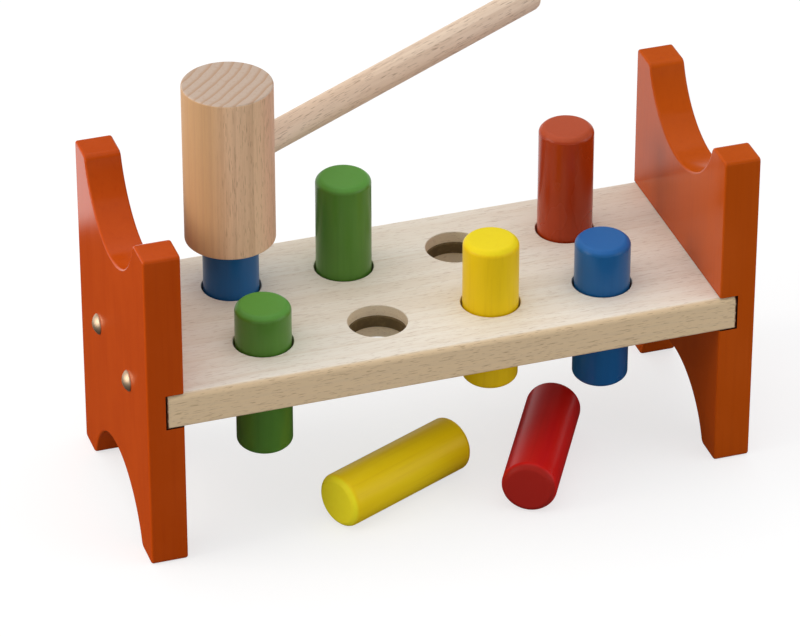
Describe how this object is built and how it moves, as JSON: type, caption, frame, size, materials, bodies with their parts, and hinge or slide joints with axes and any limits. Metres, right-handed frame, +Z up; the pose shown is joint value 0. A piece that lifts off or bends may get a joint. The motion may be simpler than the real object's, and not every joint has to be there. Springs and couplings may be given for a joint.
{
  "type": "peg pounding bench",
  "caption": "Wooden pounding bench toy: a drilled beech board between scooped orange end panels, with coloured pegs that slide through gripping rings, and a round beech mallet to drive them.",
  "frame": {"origin": "on the floor under the middle of the board, midway between the feet", "axes": "+X along the board to the right, +Y to the back row of holes, +Z up"},
  "size_m": [0.2396, 0.1713, 0.158],
  "materials": {
    "board_beech": "sanded, bare",
    "mallet_beech": "turned, bare",
    "orange_paint": "satin paint",
    "green_paint": "gloss paint",
    "blue_paint": "gloss paint",
    "yellow_paint": "gloss paint",
    "red_paint": "gloss paint",
    "grip_rubber": "matt",
    "nail_nickel": "nickel plated"
  },
  "bodies": {
    "bench": {"bench_board": "board_beech", "left_end_panel": "orange_paint", "right_end_panel": "orange_paint", "left_panel_nails": "nail_nickel", "right_panel_nails": "nail_nickel", "grip_ring_front_1": "grip_rubber", "grip_ring_front_2": "grip_rubber", "grip_ring_front_3": "grip_rubber", "grip_ring_front_4": "grip_rubber", "grip_ring_back_1": "grip_rubber", "grip_ring_back_2": "grip_rubber", "grip_ring_back_3": "grip_rubber", "grip_ring_back_4": "grip_rubber"},
    "peg_green_front": {"peg_green_front": "green_paint"},
    "peg_yellow_front": {"peg_yellow_front": "yellow_paint"},
    "peg_blue_front": {"peg_blue_front": "blue_paint"},
    "peg_blue_back": {"peg_blue_back": "blue_paint"},
    "peg_green_back": {"peg_green_back": "green_paint"},
    "peg_red_back": {"peg_red_back": "red_paint"},
    "mallet": {"mallet_head": "mallet_beech", "mallet_handle": "mallet_beech"},
    "peg_yellow_loose": {"peg_yellow_loose": "yellow_paint"},
    "peg_red_loose": {"peg_red_loose": "red_paint"}
  },
  "joints": [
    {"name": "peg_green_front_slide", "type": "slide", "parent": "bench", "child": "peg_green_front", "axis": [0, 0, 1], "range_m": [-0.0157, 0.045]},
    {"name": "peg_yellow_front_slide", "type": "slide", "parent": "bench", "child": "peg_yellow_front", "axis": [0, 0, 1], "range_m": [-0.0225, 0.034]},
    {"name": "peg_blue_front_slide", "type": "slide", "parent": "bench", "child": "peg_blue_front", "axis": [0, 0, 1], "range_m": [-0.0145, 0.042]},
    {"name": "peg_blue_back_slide", "type": "slide", "parent": "bench", "child": "peg_blue_back", "axis": [0, 0, 1], "range_m": [-0.0207, 0.04]},
    {"name": "peg_green_back_slide", "type": "slide", "parent": "bench", "child": "peg_green_back", "axis": [0, 0, 1], "range_m": [-0.0387, 0.022]},
    {"name": "peg_red_back_slide", "type": "slide", "parent": "bench", "child": "peg_red_back", "axis": [0, 0, 1], "range_m": [-0.0442, 0.0165]},
    {"name": "mallet_lift", "type": "slide", "parent": "peg_blue_back", "child": "mallet", "axis": [0, 0, 1], "range_m": [0, 0.08]},
    {"name": "peg_yellow_loose_slide", "type": "slide", "parent": "bench", "child": "peg_yellow_loose", "axis": [0, -1, 0], "range_m": [0, 0.1]},
    {"name": "peg_red_loose_slide", "type": "slide", "parent": "bench", "child": "peg_red_loose", "axis": [0, -1, 0], "range_m": [0, 0.1]}
  ]
}
